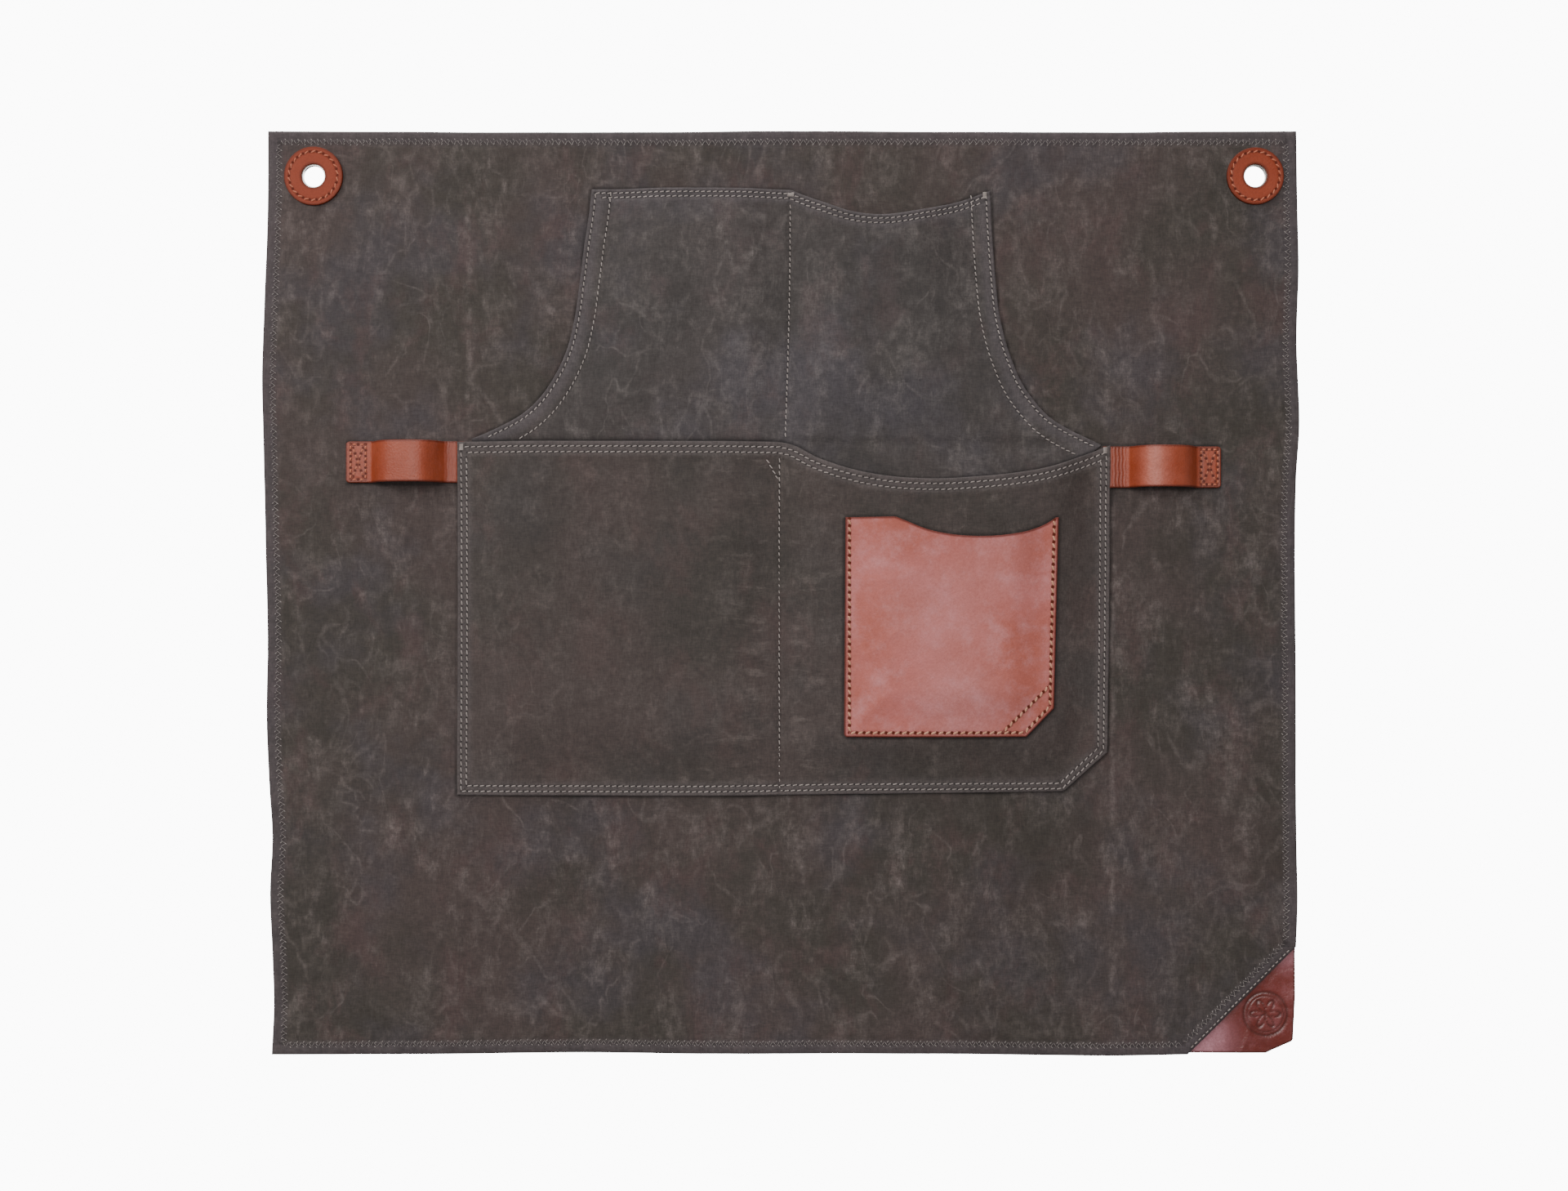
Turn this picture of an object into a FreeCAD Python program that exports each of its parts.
import FreeCAD, Part
import math
import os

# Butcher apron body: waxed-canvas panel with canvas and leather pockets, towel loops and hanging eyelets.
# It hangs upright: front towards -Y, +Z up, origin midway between the eyelets on the canvas's back face.
# Millimetres. Outlines are lists of (x, z) points; a run of three or more points is a smooth curve.

# thicknesses
PLY = 1.0                  # one ply of waxed canvas
LEATHER = 2.2              # vegetable-tanned leather of pocket, loops and rings
PATCH_THICK = 2.0
THREAD_WIDE, THREAD_HIGH = 0.7, 0.4
BOBBIN_HIGH = 0.3          # thread on the back of the panel

# panel
PANEL_LEFT, PANEL_RIGHT = -316.0, 313.0
PANEL_TOP, PANEL_BOTTOM = 28.0, -537.0
CORNER_CUT = 65.0          # leg of the cut-off lower right corner
HEM_WIDE, HEM_THICK = 9.0, 1.8
HEM_ROW = 7.0              # stitch row, from the edge
PATCH_LAP, PATCH_ROW = 6.0, 2.0

# eyelets
EYELET_SPACING = 576.0
RING_R, RING_HOLE_R, RING_ROW_R = 17.4, 7.2, 14.8
BARREL_R, BORE_R = 7.0, 6.5
FLANGE_R, FLANGE_THICK = 11.0, 0.6
WASHER_R, WASHER_THICK = 11.0, 0.8
CURL_R, CURL_THICK = 8.8, 0.6

# upper pocket: straight mouth on the left, dipped mouth on the right, bib-shaped flanks
UPPER_MOUTH_LEFT = [(-118, -8), (4, -8.5)]
UPPER_MOUTH_RIGHT = [(4, -8.5), (20, -15.5), (40, -23), (60, -25), (80, -22.5), (100, -18), (126, -9)]
UPPER_FLANK_LEFT = [(-118, -8), (-119.5, -22), (-122.5, -42), (-125, -62), (-128.5, -87), (-133.5, -107),
                    (-141, -123), (-150, -136), (-161, -146), (-173.5, -153), (-184.5, -158), (-192, -161)]
UPPER_FLANK_RIGHT = [(126, -9), (127, -32), (129, -60), (132, -87), (135.5, -102), (139.5, -113.5),
                     (145, -126), (153, -137.5), (162.5, -147.5), (174.5, -155), (187, -161), (194.5, -164.5)]
UPPER_DIVIDER = [(3.6, -9.5), (0.5, -163)]
UPPER_SEAM = 14.0          # width of the turned-under flank
UPPER_ROWS = (2.8, 12.0)   # stitch rows, from the flank
UPPER_DEPTH = 6.0          # how far the pocket front stands off its seams
FLAP_HALF, FLAP_LOW = 186.0, -198.0
UPPER_TOP_ROWS = (2.5, 5.2)

# lower pocket
LOWER_MOUTH_LEFT = [(-200, -162.5), (-3, -162.5)]
LOWER_MOUTH_RIGHT = [(-3, -162.5), (5, -164.5), (20, -172.5), (40, -179.5), (60, -183.5), (90, -185.5),
                     (120, -184), (140, -182), (160, -178.5), (180, -172), (199.5, -164.5)]
LOWER_LEFT, LOWER_RIGHT = -200.0, 199.5
LOWER_CORNERS = [(-200, -378.5), (171, -376.5), (198, -352.5)]   # lower left, and the two ends of the cut
LOWER_DIVIDER = [(-3, -165), (-3, -376)]
LOWER_SEAM, LOWER_DEPTH = 8.0, 8.0
LOWER_ROWS = (2.6, 5.9)
LOWER_TOP_ROWS = (3.2, 6.7)
TRIANGLE = 10.0            # leg of the stitched triangle at the top of the lower divider

# leather pocket
LEATHER_MOUTH = [(67, -208.8), (75, -212), (85, -216), (95, -218.5), (115, -220.5), (135, -219.5),
                 (150, -216.5), (160, -212.8), (166, -209)]
LEATHER_LEFT, LEATHER_TOP, LEATHER_BOTTOM = 36.5, -209.0, -342.5
LEATHER_RIGHT_TOP = (168, -209)
LEATHER_CUT = [(165.5, -325), (148, -342.5)]
LEATHER_SEAM, LEATHER_ROW, LEATHER_DEPTH = 6.0, 2.7, 5.3
LEATHER_SECOND_ROW = [(162.7, -311.5), (134, -339.5)]

# towel loops, one-inch strap: x of outer end, box stitching, arch and inner end, and the strap's mid height
STRAP_WIDE = 25.4
TAB_LONG, TAB_THICK = 6.0, 1.0
LOOPS = {"left": (-268.0, -265.2, -255.5, -253.5, -206.0, -200.0, -175.0),
         "right": (267.2, 265.3, 254.6, 253.2, 208.5, 199.5, -178.0)}
LOOP_HEIGHT = 18.0

Y_FRONT = -PLY             # front face of the panel
Y_SEAM = Y_FRONT - 2 * PLY  # front face of a pocket's two-ply seam


def vec(point, y=0.0):
    return FreeCAD.Vector(point[0], y, point[1])


def edge(run, y=0.0):
    """A straight edge through two points, or a smooth curve through more."""
    if len(run) == 2:
        return Part.makeLine(vec(run[0], y), vec(run[1], y))
    curve = Part.BSplineCurve()
    curve.interpolate(Points=[vec(p, y) for p in run])
    return curve.toShape()


def wire(runs, y=0.0):
    return Part.Wire([edge(run, y) for run in runs])


def prism(runs, y0, y1):
    """The closed outline made by the runs, from y0 back to y1."""
    return Part.Face(wire(runs, y0)).extrude(FreeCAD.Vector(0, y1 - y0, 0))


def polygon(points):
    return [[a, b] for a, b in zip(points, points[1:] + points[:1])]


def frustum(low_runs, y_low, high_runs, y_high):
    return Part.makeLoft([wire(low_runs, y_low), wire(high_runs, y_high)], True, True)


def aside(run, distance):
    """The run moved sideways, to the left of its direction as seen from the front (x right, z up)."""
    moved = []
    for i, (x, z) in enumerate(run):
        (ax, az), (bx, bz) = run[max(i - 1, 0)], run[min(i + 1, len(run) - 1)]
        long = math.hypot(bx - ax, bz - az)
        moved.append((x - (bz - az) / long * distance, z + (bx - ax) / long * distance))
    return moved


def resampled(run, top, low, count=9):
    """The falling run again, with its points at even heights from top down to low."""
    points = []
    for i in range(count):
        z = top + (low - top) * i / (count - 1)
        (ax, az), (bx, bz) = next(((a, b) for a, b in zip(run, run[1:]) if a[1] >= z >= b[1]),
                                  (run[0], run[1]) if z > run[0][1] else (run[-2], run[-1]))
        share = min(max((az - z) / (az - bz), 0), 1.5)
        points.append((ax + (bx - ax) * share, z))
    return points


def inset(points, distance):
    """A closed anticlockwise polygon moved inwards by the distance."""
    lines = []
    for (ax, az), (bx, bz) in zip(points, points[1:] + points[:1]):
        long = math.hypot(bx - ax, bz - az)
        nx, nz = -(bz - az) / long, (bx - ax) / long
        lines.append((nx, nz, nx * ax + nz * az + distance))
    corners = []
    for (a, b, c), (d, e, f) in zip(lines[-1:] + lines[:-1], lines):
        det = a * e - b * d
        corners.append(((c * e - b * f) / det, (a * f - c * d) / det))
    return corners


def strip(run, y0, y1, wide=THREAD_WIDE):
    """A thin band along the run, from y0 back to y1."""
    left, right = aside(run, wide / 2), aside(run, -wide / 2)
    right.reverse()
    return prism([left, [left[-1], right[0]], right, [right[-1], left[0]]], y0, y1)


def loop_strip(points, y0, y1, wide=THREAD_WIDE):
    """A closed band around an anticlockwise polygon."""
    return prism(polygon(inset(points, -wide / 2)), y0, y1).cut(prism(polygon(inset(points, wide / 2)), y0, y1))


def joined(shapes):
    first, *rest = shapes
    return (first.fuse(rest) if rest else first).removeSplitter()


def apart(shapes):
    return Part.makeCompound([s for shape in shapes for s in shape.Solids])


def rod(x, r, y0, y1):
    return Part.makeCylinder(r, y1 - y0, FreeCAD.Vector(x, y0, 0), FreeCAD.Vector(0, 1, 0))


def ring(x, r_out, r_in, y0, y1):
    return rod(x, r_out, y0, y1).cut(rod(x, r_in, y0, y1))


PANEL = [(PANEL_LEFT + 3, PANEL_BOTTOM), (PANEL_RIGHT - CORNER_CUT, PANEL_BOTTOM),
         (PANEL_RIGHT, PANEL_BOTTOM + CORNER_CUT), (PANEL_RIGHT, PANEL_TOP), (PANEL_LEFT, PANEL_TOP)]
EYELETS = {"left": -EYELET_SPACING / 2, "right": EYELET_SPACING / 2}


def main_panel():
    cloth = prism(polygon(PANEL), Y_FRONT, 0)
    hem = prism(polygon(PANEL), 0, HEM_THICK).cut(prism(polygon(inset(PANEL, HEM_WIDE)), 0, HEM_THICK))
    panel = joined([cloth, hem])
    folds = [e for e in panel.Edges if on_rim(e)]
    panel = panel.makeFillet(0.8, folds)
    for x in EYELETS.values():
        panel = panel.cut(rod(x, BARREL_R, Y_FRONT - 1, 1))
    return panel


def on_rim(candidate):
    """Whether the edge runs along the panel's outline on its front or back face."""
    y_values = {round(v.Point.y, 3) for v in candidate.Vertexes}
    if len(y_values) != 1 or not y_values <= {round(Y_FRONT, 3), HEM_THICK}:
        return False
    middle = candidate.valueAt((candidate.FirstParameter + candidate.LastParameter) / 2)
    for (ax, az), (bx, bz) in polygon(PANEL):
        long = math.hypot(bx - ax, bz - az)
        if abs(((bx - ax) * (middle.z - az) - (bz - az) * (middle.x - ax)) / long) < 0.01:
            return True
    return False


def corner_patch():
    """Leather behind the cut-off corner, lapping under the hem and finishing the panel's square corner."""
    right, bottom = PANEL_RIGHT - 0.5, PANEL_BOTTOM + 0.5
    leg = CORNER_CUT + PATCH_LAP * math.sqrt(2)
    outline = [(PANEL_RIGHT - leg, bottom), (right - 19, bottom), (right - 2, bottom + 8),
               (right, bottom + 11), (right, PANEL_BOTTOM + leg)]
    return prism(polygon(outline), HEM_THICK, HEM_THICK + PATCH_THICK)


def upper_outline(y0, y1):
    left, right = UPPER_FLANK_LEFT, UPPER_FLANK_RIGHT
    runs = [left, [left[-1], (-188, -164)], [(-188, -164), (-2, -164)], [(-2, -164), (187, -178)],
            [(187, -178), right[-1]], right[::-1], UPPER_MOUTH_RIGHT[::-1], UPPER_MOUTH_LEFT[::-1]]
    return prism(runs, y0, y1)


def upper_bowls(step):
    """Outlines of each compartment's raised front, at its foot (step 0) and further in, at its crest."""
    far, top, low = UPPER_SEAM + step, 6.0, -152.0 + step
    flank_left = resampled(aside(UPPER_FLANK_LEFT, far), top, low)
    flank_right = resampled(aside(UPPER_FLANK_RIGHT, -far), top, low)
    a, b = (1 - step, top), (-2.5 - step, low)
    left = [flank_left, [flank_left[-1], b], [b, a], [a, flank_left[0]]]
    a, b = (7 + step, top), (3.5 + step, low)
    right = [[a, b], [b, flank_right[-1]], flank_right[::-1], [flank_right[0], a]]
    return left, right


def lower_outline(y0, y1):
    (ax, az), (bx, bz), (cx, cz) = LOWER_CORNERS
    runs = [[LOWER_MOUTH_LEFT[0], (ax, az)], [(ax, az), (bx, bz)], [(bx, bz), (cx, cz)],
            [(cx, cz), LOWER_MOUTH_RIGHT[-1]], LOWER_MOUTH_RIGHT[::-1], LOWER_MOUTH_LEFT[::-1]]
    return prism(runs, y0, y1)


def lower_bowls(step):
    left = [(LOWER_LEFT, -378.5), (-3, -377.5), (-3, -140), (LOWER_LEFT, -140)]
    right = [(-3, -377.5), (171, -376.5), (198, -352.5), (LOWER_RIGHT, -140), (-3, -140)]
    far = LOWER_SEAM + step
    left = [(x, z) for x, z in inset(left, far)]
    right = [(x, z) for x, z in inset(right, far)]
    # beside the divider the seam is only 3 mm wide, and the top stays open above the mouth
    left = [left[0], (-6 - step, left[1][1]), (-6 - step, -145), (left[3][0], -145)]
    right = [(step, right[0][1]), right[1], right[2], (right[3][0], -145), (step, -145)]
    return polygon(left), polygon(right)


def leather_outline(y0, y1):
    left = [(LEATHER_LEFT, LEATHER_TOP), (LEATHER_LEFT - 0.7, LEATHER_BOTTOM + 1.5)]
    base = [left[1], (LEATHER_LEFT + 0.8, LEATHER_BOTTOM)]
    runs = [left, base, [base[1], LEATHER_CUT[1]], LEATHER_CUT[::-1], [LEATHER_CUT[0], LEATHER_RIGHT_TOP],
            [LEATHER_RIGHT_TOP, LEATHER_MOUTH[-1]], LEATHER_MOUTH[::-1], [LEATHER_MOUTH[0], left[0]]]
    return prism(runs, y0, y1)


def leather_bowl(step):
    box = [(LEATHER_LEFT, LEATHER_BOTTOM), LEATHER_CUT[1], LEATHER_CUT[0], (167.5, -190), (LEATHER_LEFT, -190)]
    a, b, c, d, e = inset(box, LEATHER_SEAM + step)
    return [polygon([a, b, c, (d[0], -200), (e[0], -200)])]


def pocket(outline, bowls, ramp, y_foot, y_base, depth, thick, hem=None):
    """(solid pocket front, the same filled in behind) with a seam band and raised, open-topped compartments."""
    seam = outline(y_foot, y_base)
    room = outline(y_foot - depth - 5, y_base)
    feet, crests = bowls(0), bowls(ramp)
    raised = [frustum(f, y_foot, c, y_foot - depth).common(room) for f, c in zip(feet, crests)]
    filled = joined([seam] + raised)
    hollows = []
    for f, c in zip(feet, crests):
        hollows.append(frustum(f, y_foot + thick, c, y_foot - depth + thick))
        if y_base - y_foot - thick > 0.01:
            hollows[-1] = joined([hollows[-1], prism(f, y_foot + thick, y_base)])
    front = filled
    for hollow in hollows:
        front = front.cut(hollow)
    if hem:
        for f, c, hollow in zip(feet, crests, hollows):
            inner = frustum(f, y_foot + 2 * thick, c, y_foot - depth + 2 * thick)
            front = joined([front, hollow.common(hem).cut(inner).common(room)])
    return front, filled


def hem_band(runs, wide):
    """The space behind a mouth's turned hem, from above the mouth down."""
    above = 6.0
    return joined([strip(aside(run, (above - wide) / 2), -40, 5, wide + above) for run in runs])


def rows_on(filled, runs, offsets, high=THREAD_HIGH):
    """Stitch rows that follow a raised pocket front, each moved down from its run."""
    skin = filled.copy()
    skin.translate(FreeCAD.Vector(0, -high, 0))
    skin = skin.cut(filled)
    bands = [strip(aside(run, -offset), -60, 10) for offset in offsets for run in runs]
    return apart([skin.common(band) for band in bands])


def towel_loop(side):
    """(strap, its thin tab): sewn end, arch, flat inner end and the skived tab caught in the pocket's seam."""
    end, _, _, foot_out, foot_in, inner, mid = LOOPS[side]
    way = 1 if inner > end else -1
    low, high = mid - STRAP_WIDE / 2, mid + STRAP_WIDE / 2
    span, centre = abs(foot_in - foot_out), (foot_in + foot_out) / 2
    arch = [(-0.5, 0), (-0.42, 0.13), (-0.34, 0.42), (-0.22, 0.80), (0, 1.0), (0.22, 0.80), (0.34, 0.42),
            (0.42, 0.13), (0.5, 0)]
    middle = [(centre + way * span * u, Y_FRONT - LEATHER / 2 - v * (LOOP_HEIGHT - LEATHER)) for u, v in arch]
    sides = [aside(middle, way * LEATHER / 2), aside(middle, -way * LEATHER / 2)]

    def curve(points):
        spline = Part.BSplineCurve()
        level = FreeCAD.Vector(way, 0, 0)
        spline.interpolate(Points=[FreeCAD.Vector(x, y, low) for x, y in points],
                           InitialTangent=level * 40, FinalTangent=level * 40)
        return spline.toShape()

    def line(a, b):
        return Part.makeLine(FreeCAD.Vector(a[0], a[1], low), FreeCAD.Vector(b[0], b[1], low))

    inside, outside = sorted(sides, key=lambda s: min(p[1] for p in s), reverse=True)
    y_low, y_high = Y_FRONT, Y_FRONT - LEATHER
    inside[0], inside[-1] = (inside[0][0], y_low), (inside[-1][0], y_low)
    outside[0], outside[-1] = (outside[0][0], y_high), (outside[-1][0], y_high)
    edges = [line((end, y_high), outside[0]), curve(outside), line(outside[-1], (inner, y_high)),
             line((inner, y_high), (inner, y_low)), line((inner, y_low), inside[-1]), curve(inside),
             line(inside[0], (end, y_low)), line((end, y_low), (end, y_high))]
    strap = Part.Face(Part.Wire(edges)).extrude(FreeCAD.Vector(0, 0, STRAP_WIDE))
    corners = [e for e in strap.Edges if e.BoundBox.XLength < 0.01 and e.BoundBox.ZLength < 0.01
               and abs(e.BoundBox.XMin - end) < 0.01]
    strap = strap.makeFillet(2.0, corners)
    tab = Part.makeBox(TAB_LONG, TAB_THICK, STRAP_WIDE,
                       FreeCAD.Vector(min(inner, inner + way * TAB_LONG), Y_FRONT - TAB_THICK, low))
    return joined([strap, tab]), tab


def box_thread(side):
    """A stitched box with a cross, on the strap and on the back of the panel."""
    _, a, b, _, _, _, mid = LOOPS[side]
    x0, x1, z0, z1 = min(a, b), max(a, b), mid - 11, mid + 11
    solids = []
    for y0, y1 in ((Y_FRONT - LEATHER - THREAD_HIGH, Y_FRONT - LEATHER), (0, BOBBIN_HIGH)):
        solids.append(joined([loop_strip([(x0, z0), (x1, z0), (x1, z1), (x0, z1)], y0, y1),
                              strip([(x0, z0), (x1, z1)], y0, y1), strip([(x0, z1), (x1, z0)], y0, y1)]))
    return apart(solids)


def eyelet_parts(x):
    leather = ring(x, RING_R, RING_HOLE_R, Y_FRONT - LEATHER, Y_FRONT)
    rim = [e for e in leather.Edges if abs(e.BoundBox.YMin - (Y_FRONT - LEATHER)) < 0.01
           and e.BoundBox.YLength < 0.01 and e.BoundBox.XLength > 2 * RING_R - 0.1]
    leather = leather.makeFillet(0.5, rim).cut(rod(x, FLANGE_R, Y_FRONT - FLANGE_THICK, Y_FRONT))
    metal = joined([ring(x, FLANGE_R, BORE_R, Y_FRONT - FLANGE_THICK, Y_FRONT),
                    ring(x, BARREL_R, BORE_R, Y_FRONT - FLANGE_THICK, WASHER_THICK + CURL_THICK),
                    ring(x, CURL_R, BORE_R, WASHER_THICK, WASHER_THICK + CURL_THICK)])
    washer = ring(x, WASHER_R, BARREL_R, 0, WASHER_THICK)
    half = THREAD_WIDE / 2
    thread = apart([ring(x, RING_ROW_R + half, RING_ROW_R - half, Y_FRONT - LEATHER - THREAD_HIGH,
                         Y_FRONT - LEATHER),
                    ring(x, RING_ROW_R + half, RING_ROW_R - half, 0, BOBBIN_HIGH)])
    return leather, metal, washer, thread


def front_and_back(runs, y_front):
    """Rows of straight or curved stitching on a flat seam, with their bobbin thread on the panel's back."""
    return [joined([strip(run, y_front - THREAD_HIGH, y_front) for run in runs]),
            joined([strip(run, 0, BOBBIN_HIGH) for run in runs])]


def panel_threads():
    row = inset(PANEL, HEM_ROW)
    hem = apart([loop_strip(row, Y_FRONT - THREAD_HIGH, Y_FRONT),
                 loop_strip(row, HEM_THICK, HEM_THICK + BOBBIN_HIGH)])
    start, end = inset(PANEL, PATCH_ROW)[1:3]
    patch = apart([strip([start, end], Y_FRONT - THREAD_HIGH, Y_FRONT),
                   strip([start, end], HEM_THICK + PATCH_THICK, HEM_THICK + PATCH_THICK + BOBBIN_HIGH)])
    return {"hem_thread": hem, "corner_patch_thread": patch}


def pockets(tabs):
    """Both canvas pockets and their threads. The upper one's flap lies inside the lower one."""
    upper_hem = hem_band([UPPER_MOUTH_LEFT, UPPER_MOUTH_RIGHT], 7)
    lower_hem = hem_band([LOWER_MOUTH_LEFT, LOWER_MOUTH_RIGHT], 9)
    upper, upper_filled = pocket(upper_outline, upper_bowls, 14, Y_SEAM, Y_FRONT, UPPER_DEPTH, PLY, upper_hem)
    lower, lower_filled = pocket(lower_outline, lower_bowls, 16, Y_SEAM, Y_FRONT, LOWER_DEPTH, PLY, lower_hem)
    flap = prism(polygon([(-FLAP_HALF, FLAP_LOW), (FLAP_HALF, FLAP_LOW), (FLAP_HALF, -160), (-FLAP_HALF, -160)]),
                 Y_FRONT - PLY, Y_FRONT)
    lower = lower.cut(flap)
    for tab in tabs:
        lower = lower.cut(tab)
    upper = joined([upper, flap]).cut(lower)
    for tab in tabs:
        upper = upper.cut(tab)

    nodes = {"upper_pocket": upper, "lower_pocket": lower}
    nodes["upper_pocket_top_thread"] = rows_on(upper_filled, [UPPER_MOUTH_LEFT, UPPER_MOUTH_RIGHT],
                                               UPPER_TOP_ROWS)
    nodes["lower_pocket_top_thread"] = rows_on(lower_filled, [LOWER_MOUTH_LEFT, LOWER_MOUTH_RIGHT],
                                               LOWER_TOP_ROWS)
    below = prism(polygon([(-220, -400), (220, -400), (220, -172), (190, -165), (150, -161), (-220, -161)]),
                  -30, Y_FRONT)
    for side, flank, sign in (("left", UPPER_FLANK_LEFT, 1), ("right", UPPER_FLANK_RIGHT, -1)):
        rows = [aside(flank, sign * offset) for offset in UPPER_ROWS]
        covered = joined([below, upper, nodes["upper_pocket_top_thread"]])
        nodes[f"upper_pocket_{side}_thread"] = apart(
            [shape.cut(covered) for shape in front_and_back(rows, Y_SEAM)])
    nodes["upper_pocket_divider_thread"] = apart(front_and_back([[(3.4, -16), (0.5, -161)]], Y_SEAM))
    base_rows = [[(-FLAP_HALF + 2, -195), (-8, -195)], [(2, -195), (FLAP_HALF - 2, -195)]]
    nodes["upper_pocket_base_thread"] = apart(front_and_back(base_rows, Y_FRONT - PLY))

    (ax, az), (bx, bz), (cx, cz) = LOWER_CORNERS
    frame = [(ax, az), (bx, bz), (cx, cz), (LOWER_RIGHT, -174), (LOWER_LEFT, -171)]
    rows = []
    for offset in LOWER_ROWS:
        a, b, c, d, e = inset(frame, offset)
        rows += [[(e[0], -172), a], [a, b], [b, c], [c, (d[0], -177)]]
    nodes["lower_pocket_edge_thread"] = apart(front_and_back(rows, Y_SEAM))
    top, low = LOWER_DIVIDER
    divider = [[(-3, -172), (-3, -371)]]
    nodes["lower_pocket_divider_thread"] = apart(front_and_back(divider, Y_SEAM))
    triangle = [[(-3 - TRIANGLE, -173), (-3.6, -173 - TRIANGLE)]]
    nodes["lower_pocket_triangle_thread"] = rows_on(lower_filled, triangle, (0,))
    return nodes


def leather_pocket():
    y_base = Y_SEAM - LOWER_DEPTH
    y_foot = y_base - LEATHER
    front, filled = pocket(leather_outline, leather_bowl, 14, y_foot, y_base, LEATHER_DEPTH, LEATHER)
    frame = [(LEATHER_LEFT, LEATHER_BOTTOM), LEATHER_CUT[1], LEATHER_CUT[0], (167.9, LEATHER_TOP),
             (LEATHER_LEFT, LEATHER_TOP)]
    a, b, c, d, e = inset(frame, LEATHER_ROW)
    rows = [[(e[0], LEATHER_TOP - 0.5), a], [a, b], [b, c], [c, (d[0], LEATHER_TOP - 0.5)]]
    outline = joined([strip(run, y_foot - THREAD_HIGH, y_foot) for run in rows])
    second = rows_on(filled, [LEATHER_SECOND_ROW], (0,)).cut(outline)
    return {"leather_pocket": front, "leather_pocket_thread": outline,
            "leather_pocket_corner_thread": apart([second])}


def bartacks(threads):
    """Small satin blocks at the ends of the mouths."""
    solids = []
    for x, z in ((3.8, -11), (122.5, -13.5), (-196, -166.5), (195.5, -168.5)):
        block = Part.makeBox(4.4, 0.9, 2.4, FreeCAD.Vector(x - 2.2, Y_SEAM - 0.9, z - 1.2))
        for thread in threads:
            block = block.cut(thread)
        solids.append(block)
    return apart(solids)


def build():
    nodes = {"main_panel": main_panel(), "corner_patch": corner_patch()}
    nodes.update(panel_threads())
    tabs = []
    for side in LOOPS:
        nodes[f"towel_loop_{side}"], tab = towel_loop(side)
        nodes[f"towel_loop_thread_{side}"] = box_thread(side)
        tabs.append(tab)
    for side, x in EYELETS.items():
        leather, metal, washer, thread = eyelet_parts(x)
        nodes[f"eyelet_ring_{side}"] = leather
        nodes[f"eyelet_{side}"] = metal
        nodes[f"eyelet_washer_{side}"] = washer
        nodes[f"eyelet_ring_thread_{side}"] = thread
    nodes.update(pockets(tabs))
    nodes.update(leather_pocket())
    nodes["bartacks"] = bartacks([nodes[n] for n in nodes if n.startswith(("upper_", "lower_"))
                                  and n.endswith("thread")])
    return nodes


os.makedirs("parts", exist_ok=True)
for name, shape in build().items():
    shape.exportStep(os.path.join("parts", name + ".step"))
